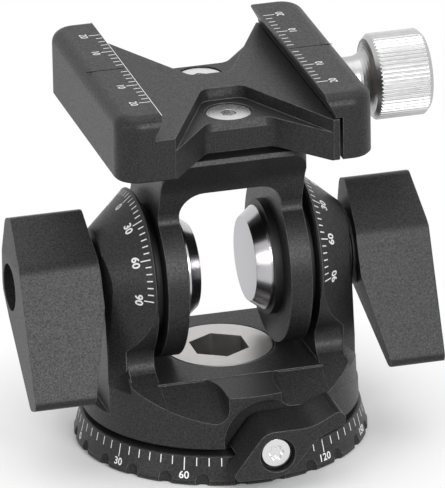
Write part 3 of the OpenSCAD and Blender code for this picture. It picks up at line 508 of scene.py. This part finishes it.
# Studio: a pale floor that fades into a white surround, and three soft boxes above, in front and to the left.
# The surround shows white to the camera and in reflections, and gives the rest of the light weakly.
floor_white = (0.93, 0.93, 0.93)
floor_half = 1.5
fade_from = 0.034
fade_to = 0.065
ambient = 0.7


def seen_rays(tree):
    """One where the ray comes from the camera, a reflection or clear glass, and nought elsewhere."""
    path = tree.nodes.new("ShaderNodeLightPath")
    total = path.outputs["Is Camera Ray"]
    for name in ("Is Glossy Ray", "Is Transmission Ray"):
        most = tree.nodes.new("ShaderNodeMath")
        most.operation = "MAXIMUM"
        tree.links.new(total, most.inputs[0])
        tree.links.new(path.outputs[name], most.inputs[1])
        total = most.outputs["Value"]
    return total


surround = bpy.data.worlds.new("surround")
surround.use_nodes = True
bpy.context.scene.world = surround
sky = surround.node_tree.nodes["Background"]
sky.inputs["Color"].default_value = (1, 1, 1, 1)
brightness = surround.node_tree.nodes.new("ShaderNodeMapRange")
brightness.inputs["To Min"].default_value = ambient
brightness.inputs["To Max"].default_value = 1
surround.node_tree.links.new(seen_rays(surround.node_tree), brightness.inputs["Value"])
surround.node_tree.links.new(brightness.outputs["Result"], sky.inputs["Strength"])

paper = new_finish("floor_paper", floor_white, 0.9)
paper_tree = paper.node_tree
paper_place = paper_tree.nodes.new("ShaderNodeTexCoord")
paper_reach = paper_tree.nodes.new("ShaderNodeVectorMath")
paper_reach.operation = "LENGTH"
paper_tree.links.new(paper_place.outputs["Object"], paper_reach.inputs[0])
paper_fade = spread(paper, paper_reach.outputs["Value"], low=0, high=1, start=fade_from, end=fade_to)
paper_glow = paper_tree.nodes.new("ShaderNodeEmission")
paper_tree.links.new(seen_rays(paper_tree), paper_glow.inputs["Strength"])
paper_mix = paper_tree.nodes.new("ShaderNodeMixShader")
paper_tree.links.new(paper_fade, paper_mix.inputs["Fac"])
paper_tree.links.new(shader_of(paper).outputs["BSDF"], paper_mix.inputs[1])
paper_tree.links.new(paper_glow.outputs["Emission"], paper_mix.inputs[2])
paper_tree.links.new(paper_mix.outputs["Shader"], paper_tree.nodes["Material Output"].inputs["Surface"])

floor_mesh = bpy.data.meshes.new("floor")
floor_corners = [(x * floor_half, y * floor_half, 0) for x, y in ((-1, -1), (1, -1), (1, 1), (-1, 1))]
floor_mesh.from_pydata(floor_corners, [], [(0, 1, 2, 3)])
floor_mesh.materials.append(paper)
floor = bpy.data.objects.new("floor", floor_mesh)
bpy.context.scene.collection.objects.link(floor)


def soft_box(name, place, aim, size, power):
    """A square soft light at a place, turned to a point."""
    lamp = bpy.data.lights.new(name, "AREA")
    lamp.shape = "SQUARE"
    lamp.size = size
    lamp.energy = power
    box = bpy.data.objects.new(name, lamp)
    box.location = place
    box.rotation_euler = (Vector(aim) - Vector(place)).to_track_quat("-Z", "Y").to_euler()
    bpy.context.scene.collection.objects.link(box)


middle = (0, 0, 43 * mm)
left_knob_foot = (-37 * mm, -10 * mm, 30 * mm)
soft_box("top_light", (0, 0.05, 0.7), middle, size=0.5, power=0.9)
soft_box("front_light", (0.075, -0.42, 0.22), left_knob_foot, size=0.2, power=1.1)
soft_box("side_light", (-0.56, -0.24, 0.12), middle, size=0.2, power=0.45)


# Camera: a long lens at the height of a seated viewer, a little left of straight in front.
# Its place was solved from the engraved scales, for a picture of 445 by 488 points.
picture_h = 488
lens_points = 9281.4
shift_right = 5.5
shift_up = -7.5
view_azimuth = radians(15.12)
view_elevation = radians(22.25)
view_roll = radians(-1.11)
view_distance = 1926.2 * mm
view_target = Vector((0, 0, 43.17 * mm))

back = Vector((-sin(view_azimuth) * cos(view_elevation), -cos(view_azimuth) * cos(view_elevation),
    sin(view_elevation)))
level = Vector((cos(view_azimuth), -sin(view_azimuth), 0))
upright = back.cross(level)
right = level * cos(view_roll) + upright * sin(view_roll)
up = upright * cos(view_roll) - level * sin(view_roll)
lens = bpy.data.cameras.new("camera")
lens.sensor_fit = "VERTICAL"
lens.sensor_height = 24
lens.lens = lens.sensor_height * lens_points / picture_h
lens.shift_x = shift_right / picture_h
lens.shift_y = shift_up / picture_h
camera = bpy.data.objects.new("camera", lens)
camera.matrix_world = Matrix.Translation(view_target + back * view_distance) @ Matrix(
    (right, up, back)).transposed().to_4x4()
bpy.context.scene.collection.objects.link(camera)
bpy.context.scene.camera = camera
bpy.context.scene.view_settings.view_transform = "Standard"

bpy.context.view_layer.update()
